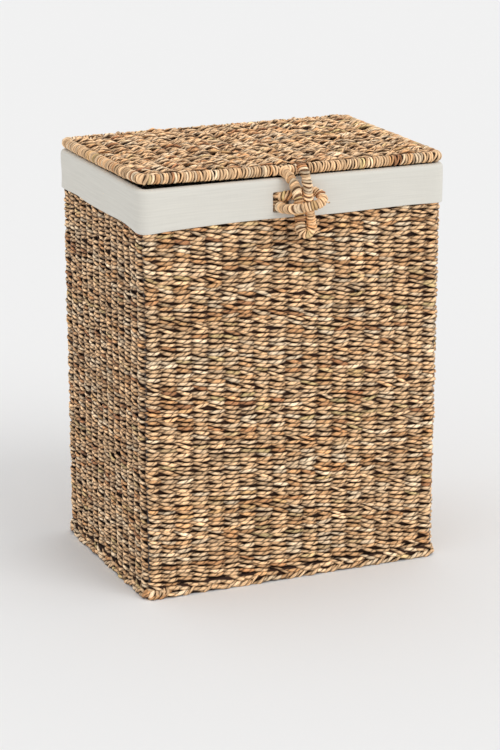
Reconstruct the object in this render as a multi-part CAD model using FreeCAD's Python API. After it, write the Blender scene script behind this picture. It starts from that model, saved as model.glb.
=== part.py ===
import FreeCAD, Part
import math
import os

# Woven laundry hamper with a cloth liner, a hinged lid and a rope loop closure.
# Millimetres. +Z is up and -Y is the front. The origin is the middle of the underside.

# Overall sizes
WIDTH = 463.0            # across the cuff at the mouth
DEPTH = 319.0            # front to back over the cuff
HEIGHT = 600.0           # floor to the top of the lid
FOOT_WIDTH = 458.0       # across the plaited foot
FOOT_DEPTH = 325.0

# Weave and borders
WEAVE = 10.0             # thickness of the woven wall
CORNER = 14.0            # outer corner radius of the wall
FOOT_HEIGHT = 16.0
FOOT_PROUD = 3.0         # how far the foot stands out of the wall
BASE_THICK = 9.0
RIM_BOTTOM = 570.0
RIM_TOP = 582.0
LID_RIM = 15.0           # diameter of the wrapped lid border
LID_WIDTH = 459.4
LID_DEPTH = 320.4
PANEL_BOTTOM = 588.0
PANEL_TOP = 598.0
PANEL_INSET = 4.0        # from the middle of the border to the edge of the panel

# Steel frame
WIRE = 4.0               # diameter of every frame wire
STAY_X = 95.0            # stays of the front and back, from the middle
CROSS_X = 105.0          # cross wires of the base and lid, from the middle

# Cloth liner
CLOTH = 1.2
LINER_GAP = 0.8          # between the liner and the weave
CUFF_CLOTH = 2.0         # doubled cloth of the turned-down cuff
CUFF_TOP = 584.0
CUFF_SEAM = 534.0        # where cuff and bag are sewn together, and the hem begins
CUFF_BOTTOM = 528.0
HEM_PROUD = 0.5
CUFF_ROUND = 1.5         # rounding of the fold over the rim

# Cords
CORD = 13.0              # closure ring and lid loop
TIE = 3.5                # hinge ties
TIE_X = 140.0
TIE_SLACK = 3.2          # how far the ties hang below the rim
TIE_SLOT_REACH = 16.0    # half depth of the slots that the ties pass through
NOTCH_ROOM = 1.2         # extra room round a tie in the lid panel
RUN_CLEAR = 0.4          # clearance between moving bodies

# Buttonhole in the front of the cuff, where the closure ring comes out
HOLE_X = (-33.5, -10.0)
HOLE_Z = (536.6, 566.0)
BINDING = 2.5

# Worked out from the sizes above
CUFF_IN = (WIDTH - 2 * CUFF_CLOTH, DEPTH - 2 * CUFF_CLOTH)
WALL_TOP = (CUFF_IN[0] - 2.0, CUFF_IN[1] - 2.0)
WALL_FOOT = (FOOT_WIDTH - 2 * FOOT_PROUD, FOOT_DEPTH - 2 * FOOT_PROUD)
MIDDLE_TOP = (WALL_TOP[0] - WEAVE, WALL_TOP[1] - WEAVE)
MIDDLE_FOOT = (WALL_FOOT[0] - WEAVE, WALL_FOOT[1] - WEAVE)
MIDDLE_R = CORNER - WEAVE / 2
BASE_SIZE = (WALL_FOOT[0] - 2 * WEAVE, WALL_FOOT[1] - 2 * WEAVE)
LID_MIDDLE = (LID_WIDTH - LID_RIM, LID_DEPTH - LID_RIM)
LID_Z = HEIGHT - LID_RIM / 2
HINGE_Y = LID_MIDDLE[1] / 2
TOP_WIRE_Z = (RIM_BOTTOM + RIM_TOP) / 2
FOOT_WIRE_Z = FOOT_HEIGHT / 2
ROOT_X = (-26.0, 18.0)   # stretch of the lid wire that the loop is wrapped on
ROOT_R = LID_RIM / 2 - 0.3

# Route of the closure ring, from the upper end in the buttonhole round to the lower end
RING_ROUTE = [
    (-25.5, -152.0, 557.9),
    (-20.0, -162.0, 558.8),
    (-10.0, -166.6, 561.0),
    (2.0, -167.0, 563.0),
    (15.0, -167.8, 563.7),
    (24.8, -172.6, 562.3),
    (29.2, -181.6, 558.5),
    (25.5, -191.2, 553.5),
    (14.5, -196.7, 550.4),
    (0.0, -197.4, 548.8),
    (-13.0, -195.6, 547.2),
    (-23.0, -186.2, 545.4),
    (-26.5, -170.5, 544.3),
    (-26.0, -152.0, 544.0),
]

# Route of the lid loop, from its right root down through the ring and up to its left root
LOOP_ROUTE = [
    (7.0, -156.0, 598.0),
    (7.2, -166.5, 594.5),
    (7.2, -174.5, 586.5),
    (7.2, -179.8, 575.0),
    (7.4, -181.8, 561.5),
    (8.4, -182.3, 548.0),
    (9.8, -182.6, 535.0),
    (11.6, -182.9, 524.5),
    (12.5, -183.1, 518.5),
    (10.3, -183.2, 510.8),
    (3.6, -183.2, 507.6),
    (-3.1, -183.2, 510.8),
    (-5.3, -183.1, 518.5),
    (-5.4, -182.9, 526.0),
    (-5.4, -182.6, 536.5),
    (-6.2, -182.2, 549.0),
    (-7.8, -181.0, 563.0),
    (-11.4, -176.6, 577.5),
    (-15.4, -169.0, 588.0),
    (-18.0, -157.5, 593.0),
]


def vector(x, y, z):
    return FreeCAD.Vector(x, y, z)


def rounded_wire(size, radius, z):
    """Closed rectangle with round corners, level at height z."""
    half_x = size[0] / 2
    half_y = size[1] / 2
    edges = []
    corners = [(1, -1), (1, 1), (-1, 1), (-1, -1)]
    for index, (side_x, side_y) in enumerate(corners):
        centre = vector(side_x * (half_x - radius), side_y * (half_y - radius), z)
        first = math.radians(90 * (index - 1))
        points = [centre + vector(math.cos(first + turn), math.sin(first + turn), 0) * radius
                  for turn in (0, math.pi / 4, math.pi / 2)]
        if edges:
            edges.append(Part.LineSegment(edges[-1].lastVertex().Point, points[0]).toShape())
        edges.append(Part.Arc(*points).toShape())
    last = edges[-1].lastVertex().Point
    first = edges[0].firstVertex().Point
    edges.append(Part.LineSegment(last, first).toShape())
    return Part.Wire(edges)


def tapered_block(foot, top, radius, z_low, z_high):
    """Solid between two rounded rectangles at two heights."""
    wires = [rounded_wire(foot, radius, z_low), rounded_wire(top, radius, z_high)]
    return Part.makeLoft(wires, True, True)


def size_at(z, offset=0.0):
    """Width and depth of the wall's outer face at height z, grown by offset on each side."""
    share = (z - FOOT_HEIGHT) / (RIM_BOTTOM - FOOT_HEIGHT)
    return tuple(low + share * (high - low) + 2 * offset for low, high in zip(WALL_FOOT, WALL_TOP))


def wall_block(z_low, z_high, offset, radius):
    """Block that follows the wall's taper, offset from its outer face."""
    return tapered_block(size_at(z_low, offset), size_at(z_high, offset), radius, z_low, z_high)


def swept_ring(path, profile):
    """Solid of one profile carried round a closed path."""
    return path.makePipeShell([profile], True, False)


def wire_ring(size, radius, z, thickness):
    """Round bar bent to a rounded rectangle."""
    path = rounded_wire(size, radius, z)
    start = vector(size[0] / 2, 0, z)
    circle = Part.Wire(Part.makeCircle(thickness / 2, start, vector(0, 1, 0)))
    return swept_ring(path, circle)


def bar(start, end, thickness):
    """Straight round bar between two points."""
    along = end - start
    return Part.makeCylinder(thickness / 2, along.Length, start, along)


def box(x_range, y_range, z_range):
    low = vector(x_range[0], y_range[0], z_range[0])
    return Part.makeBox(x_range[1] - x_range[0], y_range[1] - y_range[0],
                        z_range[1] - z_range[0], low)


def cord_path(name, route):
    """Straight runs joined by tangent arcs, each as large as its two runs allow."""
    points = [vector(*point) for point in route]
    edges = []
    radii = []
    start = points[0]
    for before, corner, after in zip(points, points[1:], points[2:]):
        run_in = corner - before
        run_out = after - corner
        half_turn = run_in.getAngle(run_out) / 2
        trim = 0.45 * min(run_in.Length, run_out.Length)
        radius = trim / math.tan(half_turn)
        run_in.normalize()
        run_out.normalize()
        inward = run_out - run_in
        inward.normalize()
        arc_start = corner - run_in * trim
        arc_end = corner + run_out * trim
        arc_middle = corner + inward * (radius / math.cos(half_turn) - radius)
        edges.append(Part.LineSegment(start, arc_start).toShape())
        edges.append(Part.Arc(arc_start, arc_middle, arc_end).toShape())
        radii.append(radius)
        start = arc_end
    edges.append(Part.LineSegment(start, points[-1]).toShape())
    print(name, "arc radii:", [round(radius, 1) for radius in radii])
    return Part.Wire(edges)


def cord_tube(name, route, thickness):
    """Tube along a cord's route, with its volume compared with section times length."""
    path = cord_path(name, route)
    start = vector(*route[0])
    along = vector(*route[1]) - start
    circle = Part.Wire(Part.makeCircle(thickness / 2, start, along))
    tube = path.makePipeShell([circle], True, False)
    expected = math.pi * thickness ** 2 / 4 * path.Length
    print(name, "length", round(path.Length, 1), "volume ratio", round(tube.Volume / expected, 4))
    return tube


# ---- steel frame ----

def corner_middle(size, radius, side_x, side_y, z):
    """Point halfway round a corner of a rounded rectangle."""
    reach = radius * (1 - math.sqrt(0.5))
    return vector(side_x * (size[0] / 2 - reach), side_y * (size[1] / 2 - reach), z)


def frame_posts():
    posts = {}
    for row, side_y in (("front", -1), ("back", 1)):
        for column, side_x in (("left", -1), ("right", 1)):
            low = corner_middle(MIDDLE_FOOT, MIDDLE_R, side_x, side_y, FOOT_WIRE_Z + WIRE / 2)
            high = corner_middle(MIDDLE_TOP, MIDDLE_R, side_x, side_y, TOP_WIRE_Z - WIRE / 2)
            posts["frame_post_%s_%s" % (row, column)] = bar(low, high, WIRE)
    return posts


def frame_stays():
    """Upright wires inside the walls, two in each long wall and one in each short wall."""
    low_z = FOOT_WIRE_Z + WIRE / 2
    high_z = TOP_WIRE_Z - WIRE / 2
    stays = {}
    for row, side in (("front", -1), ("back", 1)):
        for column, x in (("left", -STAY_X), ("right", STAY_X)):
            low = vector(x, side * MIDDLE_FOOT[1] / 2, low_z)
            high = vector(x, side * MIDDLE_TOP[1] / 2, high_z)
            stays["frame_stay_%s_%s" % (row, column)] = bar(low, high, WIRE)
    for name, side in (("left", -1), ("right", 1)):
        low = vector(side * MIDDLE_FOOT[0] / 2, 0, low_z)
        high = vector(side * MIDDLE_TOP[0] / 2, 0, high_z)
        stays["frame_stay_" + name] = bar(low, high, WIRE)
    return stays


def cross_wire(x, reach, z):
    """Wire from front to back, ending at a frame ring."""
    return bar(vector(x, -reach, z), vector(x, reach, z), WIRE)


def basket_frame():
    frame = {
        "frame_bottom_ring": wire_ring(MIDDLE_FOOT, MIDDLE_R, FOOT_WIRE_Z, WIRE),
        "frame_top_ring": wire_ring(MIDDLE_TOP, MIDDLE_R, TOP_WIRE_Z, WIRE),
    }
    frame.update(frame_posts())
    frame.update(frame_stays())
    return frame


def base_wires():
    reach = MIDDLE_FOOT[1] / 2 - WIRE / 2
    return {
        "base_wire_left": cross_wire(-CROSS_X, reach, BASE_THICK / 2),
        "base_wire_middle": cross_wire(0, reach, BASE_THICK / 2),
        "base_wire_right": cross_wire(CROSS_X, reach, BASE_THICK / 2),
    }


def lid_wires():
    reach = HINGE_Y - WIRE / 2
    return {
        "lid_frame_ring": wire_ring(LID_MIDDLE, MIDDLE_R, LID_Z, WIRE),
        "lid_wire_left": cross_wire(-CROSS_X, reach, LID_Z),
        "lid_wire_right": cross_wire(CROSS_X, reach, LID_Z),
    }


# ---- woven parts ----

def foot_border():
    """Plaited band round the foot, flat underneath and rounded outside."""
    outer = tapered_block((FOOT_WIDTH, FOOT_DEPTH), (FOOT_WIDTH, FOOT_DEPTH),
                          CORNER + FOOT_PROUD, 0, FOOT_HEIGHT)
    outer = outer.makeFillet(FOOT_PROUD, [edge for edge in outer.Edges
                                          if abs(edge.BoundBox.ZMin - edge.BoundBox.ZMax) < 0.01])
    inner = tapered_block(BASE_SIZE, BASE_SIZE, CORNER - WEAVE, -1, FOOT_HEIGHT + 1)
    return outer.cut(inner)


def woven_base():
    return tapered_block(BASE_SIZE, BASE_SIZE, CORNER - WEAVE, 0, BASE_THICK)


def tie_slot(side):
    """Space for one hinge tie through the wall and the liner."""
    half = TIE / 2 + RUN_CLEAR
    centre = side * TIE_X
    bottom = RIM_BOTTOM - TIE_SLACK - TIE - 2 * RUN_CLEAR
    return box((centre - half, centre + half),
               (HINGE_Y - TIE_SLOT_REACH, HINGE_Y + TIE_SLOT_REACH), (bottom, CUFF_TOP + 1))


def woven_wall():
    outer = wall_block(FOOT_HEIGHT, RIM_BOTTOM, 0, CORNER)
    inner = wall_block(FOOT_HEIGHT - 1, RIM_BOTTOM + 1, -WEAVE, CORNER - WEAVE)
    wall = outer.cut(inner)
    for side in (-1, 1):
        wall = wall.cut(tie_slot(side))
    return wall


def rim_border():
    outer = tapered_block(WALL_TOP, WALL_TOP, CORNER, RIM_BOTTOM, RIM_TOP)
    inner_size = (WALL_TOP[0] - 2 * WEAVE, WALL_TOP[1] - 2 * WEAVE)
    inner = tapered_block(inner_size, inner_size, CORNER - WEAVE, RIM_BOTTOM - 1, RIM_TOP + 1)
    rim = outer.cut(inner)
    top_edges = [edge for edge in rim.Edges if edge.BoundBox.ZMin > RIM_TOP - 0.01]
    return rim.makeFillet(WEAVE / 4, top_edges)


# ---- lid ----

def root_gap(radius, slack):
    """Cylinder round the stretch of the lid's front wire that carries the loop."""
    start = vector(ROOT_X[0] - slack, -HINGE_Y, LID_Z)
    end = vector(ROOT_X[1] + slack, -HINGE_Y, LID_Z)
    return bar(start, end, 2 * radius)


def lid_border():
    ring = wire_ring(LID_MIDDLE, MIDDLE_R, LID_Z, LID_RIM)
    return ring.cut(root_gap(LID_RIM, 0))


def lid_panel():
    """Woven top, let into the border, with room for the hinge ties and the loop's root."""
    size = (LID_MIDDLE[0] - 2 * PANEL_INSET, LID_MIDDLE[1] - 2 * PANEL_INSET)
    panel = tapered_block(size, size, MIDDLE_R - PANEL_INSET, PANEL_BOTTOM, PANEL_TOP)
    panel = panel.cut(wire_ring(LID_MIDDLE, MIDDLE_R, LID_Z, LID_RIM))
    panel = panel.cut(root_gap(LID_RIM / 2 + RUN_CLEAR, 1))
    tie_reach = LID_RIM / 2 + TIE + 2 * RUN_CLEAR + NOTCH_ROOM
    half = TIE / 2 + RUN_CLEAR
    for side in (-1, 1):
        start = vector(side * TIE_X - half, HINGE_Y, LID_Z)
        end = vector(side * TIE_X + half, HINGE_Y, LID_Z)
        panel = panel.cut(bar(start, end, 2 * tie_reach))
    return panel


def loop_root():
    """Wrapping that carries the loop and turns on the lid's front wire."""
    wrap = root_gap(ROOT_R, -RUN_CLEAR)
    return wrap.cut(root_gap(WIRE / 2 + 0.1, 1))


# ---- liner ----

def liner_bag():
    """Sewn bag inside the wall, open above, from the bottom panel to the cuff seam."""
    floor = BASE_THICK + LINER_GAP
    outer = wall_block(floor, CUFF_SEAM, -WEAVE - LINER_GAP, CORNER - WEAVE)
    inner = wall_block(floor - 1, CUFF_SEAM + 1, -WEAVE - LINER_GAP - CLOTH, CORNER - WEAVE)
    return outer.cut(inner)


def liner_bottom():
    floor = BASE_THICK + LINER_GAP
    return wall_block(floor, floor + CLOTH, -WEAVE - LINER_GAP - CLOTH - 0.1, CORNER - WEAVE)


def cuff_solid(z_low, z_high, proud):
    """Block of the cuff's outer shape."""
    size = (WIDTH + 2 * proud, DEPTH + 2 * proud)
    return tapered_block(size, size, CORNER + 3, z_low, z_high)


def liner_cuff():
    """Cloth that comes up inside, folds over the rim and hangs down outside."""
    outer = cuff_solid(CUFF_SEAM, CUFF_TOP, -HEM_PROUD)
    top_edges = [edge for edge in outer.Edges if edge.BoundBox.ZMin > CUFF_TOP - 0.01]
    outer = outer.makeFillet(CUFF_ROUND, top_edges)
    channel = tapered_block(CUFF_IN, CUFF_IN, CORNER + 1, CUFF_SEAM - 1, CUFF_TOP - CLOTH)
    channel_in = wall_block(CUFF_SEAM - 1, CUFF_TOP, -WEAVE - LINER_GAP, CORNER - WEAVE)
    mouth = wall_block(CUFF_SEAM - 1, CUFF_TOP + 1, -WEAVE - LINER_GAP - CLOTH, CORNER - WEAVE)
    cuff = outer.cut(channel.cut(channel_in)).cut(mouth)
    cuff = cuff.cut(box(HOLE_X, (-DEPTH / 2 - 2, -DEPTH / 2 + CUFF_CLOTH + 0.5), HOLE_Z))
    for side in (-1, 1):
        cuff = cuff.cut(tie_slot(side))
    return cuff


def liner_hem():
    inner = tapered_block(CUFF_IN, CUFF_IN, CORNER + 1, CUFF_BOTTOM - 1, CUFF_SEAM + 1)
    return cuff_solid(CUFF_BOTTOM, CUFF_SEAM, 0).cut(inner)


def buttonhole_binding():
    """Stitched frame on the face of the cuff round the buttonhole."""
    front = -DEPTH / 2 + HEM_PROUD
    y_range = (front - 0.6, front)
    outer_x = (HOLE_X[0] - BINDING, HOLE_X[1] + BINDING)
    outer_z = (HOLE_Z[0] - BINDING, HOLE_Z[1] + BINDING)
    frame = box(outer_x, y_range, outer_z)
    return frame.cut(box(HOLE_X, (front - 2, front + 1), HOLE_Z))


# ---- cords ----

def hinge_tie(side):
    """Cord link round the lid's rear border and the rim of the basket."""
    reach = LID_RIM / 2 + RUN_CLEAR + TIE / 2
    low = RIM_BOTTOM - TIE_SLACK - RUN_CLEAR - TIE / 2 + reach
    x = side * TIE_X
    left = HINGE_Y - reach
    right = HINGE_Y + reach
    edges = [
        Part.LineSegment(vector(x, right, low), vector(x, right, LID_Z)).toShape(),
        Part.Arc(vector(x, right, LID_Z), vector(x, HINGE_Y, LID_Z + reach),
                 vector(x, left, LID_Z)).toShape(),
        Part.LineSegment(vector(x, left, LID_Z), vector(x, left, low)).toShape(),
        Part.Arc(vector(x, left, low), vector(x, HINGE_Y, low - reach),
                 vector(x, right, low)).toShape(),
    ]
    start = vector(x, right, (low + LID_Z) / 2)
    profile = Part.Wire(Part.makeCircle(TIE / 2, start, vector(0, 0, 1)))
    return swept_ring(Part.Wire(edges), profile)


def closure_ring(wall):
    return cord_tube("closure_ring", RING_ROUTE, CORD).cut(wall)


def loop_cord():
    """The lid loop's free cord, with its ends fitted to the root wrapping."""
    return cord_tube("loop_cord", LOOP_ROUTE, CORD).cut(root_gap(ROOT_R, -RUN_CLEAR))


# ---- assembly ----

def let_in(solid, wires):
    """Cut the channels that frame wires lie in."""
    for wire in wires:
        solid = solid.cut(wire)
    return solid


def basket_parts():
    frame = basket_frame()
    cross = base_wires()
    wires = list(frame.values())
    everything = wires + list(cross.values())
    wall = woven_wall()
    parts = {
        "woven_wall": let_in(wall, wires),
        "woven_base": let_in(woven_base(), list(cross.values())),
        "foot_border": let_in(foot_border(), everything),
        "rim_border": let_in(rim_border(), wires),
        "liner_bag": liner_bag(),
        "liner_bottom": liner_bottom(),
        "liner_cuff": liner_cuff(),
        "liner_hem": liner_hem(),
        "buttonhole_binding": buttonhole_binding(),
        "hinge_tie_left": hinge_tie(-1),
        "hinge_tie_right": hinge_tie(1),
        "closure_ring": closure_ring(wall),
    }
    parts.update(frame)
    parts.update(cross)
    return parts


def lid_parts():
    wires = lid_wires()
    inside = list(wires.values())
    parts = {
        "lid_border": let_in(lid_border(), inside),
        "lid_panel": let_in(lid_panel(), inside),
        "loop_root": loop_root(),
        "loop_cord": loop_cord(),
    }
    parts.update(wires)
    return parts


def main():
    os.makedirs("parts", exist_ok=True)
    parts = basket_parts()
    parts.update(lid_parts())
    for name in sorted(parts):
        shape = parts[name]
        solids = shape.Solids
        print("%-26s solids %d valid %s volume %.1f" % (name, len(solids), shape.isValid(),
                                                        shape.Volume))
        if len(solids) == 1:
            shape = solids[0]
        shape.exportStep("parts/%s.step" % name)


main()
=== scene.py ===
import math

import bmesh
import bpy
import numpy as np
from mathutils import Matrix, Vector


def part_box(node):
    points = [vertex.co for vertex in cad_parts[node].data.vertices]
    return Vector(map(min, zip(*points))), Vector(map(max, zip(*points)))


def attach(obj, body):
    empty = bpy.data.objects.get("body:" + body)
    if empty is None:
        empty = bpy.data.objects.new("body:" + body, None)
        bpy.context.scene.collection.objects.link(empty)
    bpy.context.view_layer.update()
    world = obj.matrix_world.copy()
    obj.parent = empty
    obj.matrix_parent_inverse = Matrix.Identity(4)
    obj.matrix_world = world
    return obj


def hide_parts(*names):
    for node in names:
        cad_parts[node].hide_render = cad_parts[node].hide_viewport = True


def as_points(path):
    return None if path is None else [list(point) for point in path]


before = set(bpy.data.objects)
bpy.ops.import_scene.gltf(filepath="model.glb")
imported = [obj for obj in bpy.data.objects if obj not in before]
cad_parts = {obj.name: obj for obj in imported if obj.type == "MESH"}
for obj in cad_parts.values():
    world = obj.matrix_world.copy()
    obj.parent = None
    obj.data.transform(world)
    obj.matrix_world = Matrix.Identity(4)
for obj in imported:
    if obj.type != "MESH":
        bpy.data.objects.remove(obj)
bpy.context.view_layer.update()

bl_info = {
    "name": "Woven Laundry Hamper",
    "version": (1, 0, 0),
    "blender": (4, 5, 0),
    "location": "View3D > Sidebar > Hamper",
    "description": "Builds a lidded seagrass hamper with a cotton liner and a rope closure",
    "category": "Object",
}

MM = 0.001
FLOOR_GAP = 0.3 * MM           # nothing woven goes lower than this

# Places taken from the frame, in metres
WALL_LOW, WALL_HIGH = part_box("woven_wall")
FOOT_LOW, FOOT_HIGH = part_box("foot_border")
BASE_LOW, BASE_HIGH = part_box("woven_base")
RIM_LOW, RIM_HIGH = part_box("rim_border")
LID_LOW, LID_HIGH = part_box("lid_border")
PANEL_LOW, PANEL_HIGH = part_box("lid_panel")
ROOT_LOW, ROOT_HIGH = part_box("loop_root")
CUFF_LOW, CUFF_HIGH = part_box("liner_cuff")
HEM_LOW, HEM_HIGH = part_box("liner_hem")
BAG_LOW, BAG_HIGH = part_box("liner_bag")
BINDING_LOW, BINDING_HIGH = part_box("buttonhole_binding")

WALL_CORNER = 14 * MM          # outer corner radius of the weave
FOOT_PROUD = 3 * MM            # the foot stands this far out of the wall
WEAVE = 10 * MM                # thickness of the wall
LID_RADIUS = (LID_HIGH.z - LID_LOW.z) / 2
LID_Z = (LID_HIGH.z + LID_LOW.z) / 2
LID_CORNER = 9 * MM            # of the border's middle line
TIE_X = 140 * MM               # hinge ties, from the middle
TIE = 3.5 * MM                 # hinge ties

# Weave counts: columns of floats on each wall add up to an even number round the hamper
FRONT_COLUMNS = 19
SIDE_COLUMNS = 13
ROUND_COLUMNS = 2 * (FRONT_COLUMNS + SIDE_COLUMNS)

# Route of the closure ring, from its upper end in the buttonhole round to its lower end
RING_ROUTE = [
    (-0.0255, -0.1520, 0.5579),
    (-0.0200, -0.1620, 0.5588),
    (-0.0100, -0.1666, 0.5610),
    (0.0020, -0.1670, 0.5630),
    (0.0150, -0.1678, 0.5637),
    (0.0248, -0.1726, 0.5623),
    (0.0292, -0.1816, 0.5585),
    (0.0255, -0.1912, 0.5535),
    (0.0145, -0.1967, 0.5504),
    (0.0000, -0.1974, 0.5488),
    (-0.0130, -0.1956, 0.5472),
    (-0.0230, -0.1862, 0.5454),
    (-0.0265, -0.1705, 0.5443),
    (-0.0260, -0.1520, 0.5440),
]

# Route of the lid loop, from its right root down through the ring and up to its left root
LOOP_ROUTE = [
    (0.0070, -0.1560, 0.5980),
    (0.0072, -0.1665, 0.5945),
    (0.0072, -0.1745, 0.5865),
    (0.0072, -0.1798, 0.5750),
    (0.0074, -0.1818, 0.5615),
    (0.0084, -0.1823, 0.5480),
    (0.0098, -0.1826, 0.5350),
    (0.0116, -0.1829, 0.5245),
    (0.0125, -0.1831, 0.5185),
    (0.0103, -0.1832, 0.5108),
    (0.0036, -0.1832, 0.5076),
    (-0.0031, -0.1832, 0.5108),
    (-0.0053, -0.1831, 0.5185),
    (-0.0054, -0.1829, 0.5260),
    (-0.0054, -0.1826, 0.5365),
    (-0.0062, -0.1822, 0.5490),
    (-0.0078, -0.1810, 0.5630),
    (-0.0114, -0.1766, 0.5775),
    (-0.0154, -0.1690, 0.5880),
    (-0.0180, -0.1575, 0.5930),
]


def hex_colour(code):
    """Linear colour from an sRGB hex value."""
    parts = [int(code[i:i + 2], 16) / 255 for i in (0, 2, 4)]
    linear = [c / 12.92 if c <= 0.04045 else ((c + 0.055) / 1.055) ** 2.4 for c in parts]
    return (*linear, 1.0)


# ---- settings ----

def length_setting(label, text, default):
    return bpy.props.FloatProperty(name=label, description=text, default=default, min=0.0,
                                   unit="LENGTH", precision=5)


def colour_setting(label, text, code):
    return bpy.props.FloatVectorProperty(name=label, description=text, default=hex_colour(code),
                                         size=4, min=0.0, max=1.0, subtype="COLOR")


class HamperWeave(bpy.types.PropertyGroup):
    """Sizes of the seagrass work."""
    row_pitch: length_setting("Row pitch", "Height of one float in a column", 6.3 * MM)
    float_length: length_setting("Float length", "Strand from one hidden tip to the other", 40 * MM)
    float_height: length_setting("Float height", "Strand measured across the row", 6.6 * MM)
    ply_pitch: length_setting("Ply pitch", "Length of one full twist of a strand", 25 * MM)
    float_bulge: length_setting("Float bulge", "How far a float bows out over its stake", 3.2 * MM)
    wrap_pitch: length_setting("Wrap pitch", "Spacing of the wraps on the lid border", 4.1 * MM)
    cord_pitch: length_setting("Cord wrap pitch", "Spacing of the wraps on the cords", 4.4 * MM)


class HamperColours(bpy.types.PropertyGroup):
    """Colours of the hamper's finishes."""
    straw_pale: colour_setting("Pale straw", "Lightest seagrass strands", "fadfba")
    straw: colour_setting("Straw", "Most of the seagrass", "f0c595")
    honey: colour_setting("Honey", "Warmer strands", "dfa871")
    russet: colour_setting("Russet", "Reddish brown strands", "bd8053")
    olive: colour_setting("Olive", "Greenish strands", "d8bd84")
    # umber is the colour of painted shade, mixed into the weave where strands tuck under and into
    # the shaded core
    umber: colour_setting("Umber", "Deep gaps between strands", "45230c")
    cotton: colour_setting("Cotton", "Liner cloth", "dcd9d0")
    steel: colour_setting("Frame paint", "Paint on the wire frame", "2b2320")
    floor: colour_setting("Floor", "Studio floor", "f1f1f1")


# ---- materials ----

def add_node(tree, kind, links=None, values=None, **settings):
    """Adds one node with its settings, input values and links."""
    node = tree.nodes.new(kind)
    for key, value in settings.items():
        setattr(node, key, value)
    for key, value in (values or {}).items():
        node.inputs[key].default_value = value
    for key, socket in (links or {}).items():
        tree.links.new(socket, node.inputs[key])
    return node


def new_material(name, roughness, **values):
    """An empty material with one Principled shader, returned with its tree and shader."""
    material = bpy.data.materials.new(name)
    material.use_nodes = True
    tree = material.node_tree
    tree.nodes.clear()
    shader = add_node(tree, "ShaderNodeBsdfPrincipled", values={"Roughness": roughness, **values})
    output = add_node(tree, "ShaderNodeOutputMaterial")
    tree.links.new(shader.outputs["BSDF"], output.inputs["Surface"])
    return material, tree, shader


def fill_ramp(ramp, stops):
    """Sets a colour ramp's stops from (position, colour) pairs."""
    elements = ramp.color_ramp.elements
    while len(elements) > 1:
        elements.remove(elements[-1])
    elements[0].position, elements[0].color = stops[0]
    for position, colour in stops[1:]:
        elements.new(position).color = colour


def seagrass(name, brightness):
    """Dried seagrass, twisted and woven by hand.

    It is a dull, fibrous leaf: pale straw to russet from strand to strand, with fine streaks
    along each strand and a faint waxy gloss; painted shade darkens it to umber where strands tuck
    under.
    """
    colours = bpy.context.scene.hamper_colours
    material, tree, shader = new_material(name, 0.58)
    tone = add_node(tree, "ShaderNodeAttribute", attribute_name="tone")
    parts = add_node(tree, "ShaderNodeSeparateXYZ", links={0: tone.outputs["Vector"]})
    hue = add_node(tree, "ShaderNodeValToRGB", links={0: parts.outputs["X"]})
    fill_ramp(hue, [
        (0.00, colours.russet), (0.06, colours.honey), (0.25, colours.straw),
        (0.62, colours.straw), (0.80, colours.straw_pale), (0.92, colours.straw),
        (0.97, colours.olive), (1.00, colours.honey),
    ])
    fibre = add_node(tree, "ShaderNodeAttribute", attribute_name="fibre")
    # streaks are about 1.3 mm across and 9 mm long, a little coarser than the real fibres
    stretch = add_node(tree, "ShaderNodeMapping", links={"Vector": fibre.outputs["Vector"]},
                       values={"Scale": (1 / (9 * MM), 1 / (1.3 * MM), 0.0)})
    streak = add_node(tree, "ShaderNodeTexNoise", links={"Vector": stretch.outputs["Vector"]},
                      values={"Scale": 1.0, "Detail": 3.0, "Roughness": 0.6})
    streak_tone = add_node(tree, "ShaderNodeMapRange", links={"Value": streak.outputs["Fac"]},
                           values={"From Min": 0.3, "From Max": 0.7,
                                   "To Min": 0.5, "To Max": 1.5})
    # the strand is two plies twisted together; painted shade darkens the groove between them, which
    # also shapes the bump
    place = add_node(tree, "ShaderNodeSeparateXYZ", links={0: fibre.outputs["Vector"]})
    around = add_node(tree, "ShaderNodeMath", operation="COSINE", links={0: place.outputs["Z"]})
    round_ply = add_node(tree, "ShaderNodeMath", operation="ABSOLUTE", links={0: around.outputs[0]})
    groove = add_node(tree, "ShaderNodeMapRange", links={"Value": round_ply.outputs[0]},
                      values={"From Min": 0.0, "From Max": 0.62, "To Min": 0.24, "To Max": 1.12})
    grooved = add_node(tree, "ShaderNodeMath", operation="MULTIPLY",
                       links={0: groove.outputs["Result"], 1: streak_tone.outputs["Result"]})
    light = add_node(tree, "ShaderNodeMath", operation="MULTIPLY",
                     links={0: parts.outputs["Y"], 1: grooved.outputs[0]})
    scaled = add_node(tree, "ShaderNodeMath", operation="MULTIPLY",
                      links={0: light.outputs[0]}, values={1: brightness})
    shade = add_node(tree, "ShaderNodeVectorMath", operation="SCALE",
                     links={0: hue.outputs["Color"], "Scale": scaled.outputs[0]})
    # painted shade: the tone's third value mixes in umber where floats tuck under, between rows and
    # on their lower sides
    shade_mixed = add_node(tree, "ShaderNodeMix", data_type="RGBA",
                      links={"Factor": parts.outputs["Z"], 6: shade.outputs[0]},
                      values={7: colours.umber})
    tree.links.new(shade_mixed.outputs[2], shader.inputs["Base Color"])
    relief = add_node(tree, "ShaderNodeMath", operation="MULTIPLY_ADD",
                      links={0: groove.outputs["Result"], 2: streak.outputs["Fac"]},
                      values={1: 1.5})
    bump = add_node(tree, "ShaderNodeBump", links={"Height": relief.outputs[0]},
                    values={"Strength": 0.9, "Distance": 0.8 * MM})
    tree.links.new(bump.outputs["Normal"], shader.inputs["Normal"])
    return material


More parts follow.
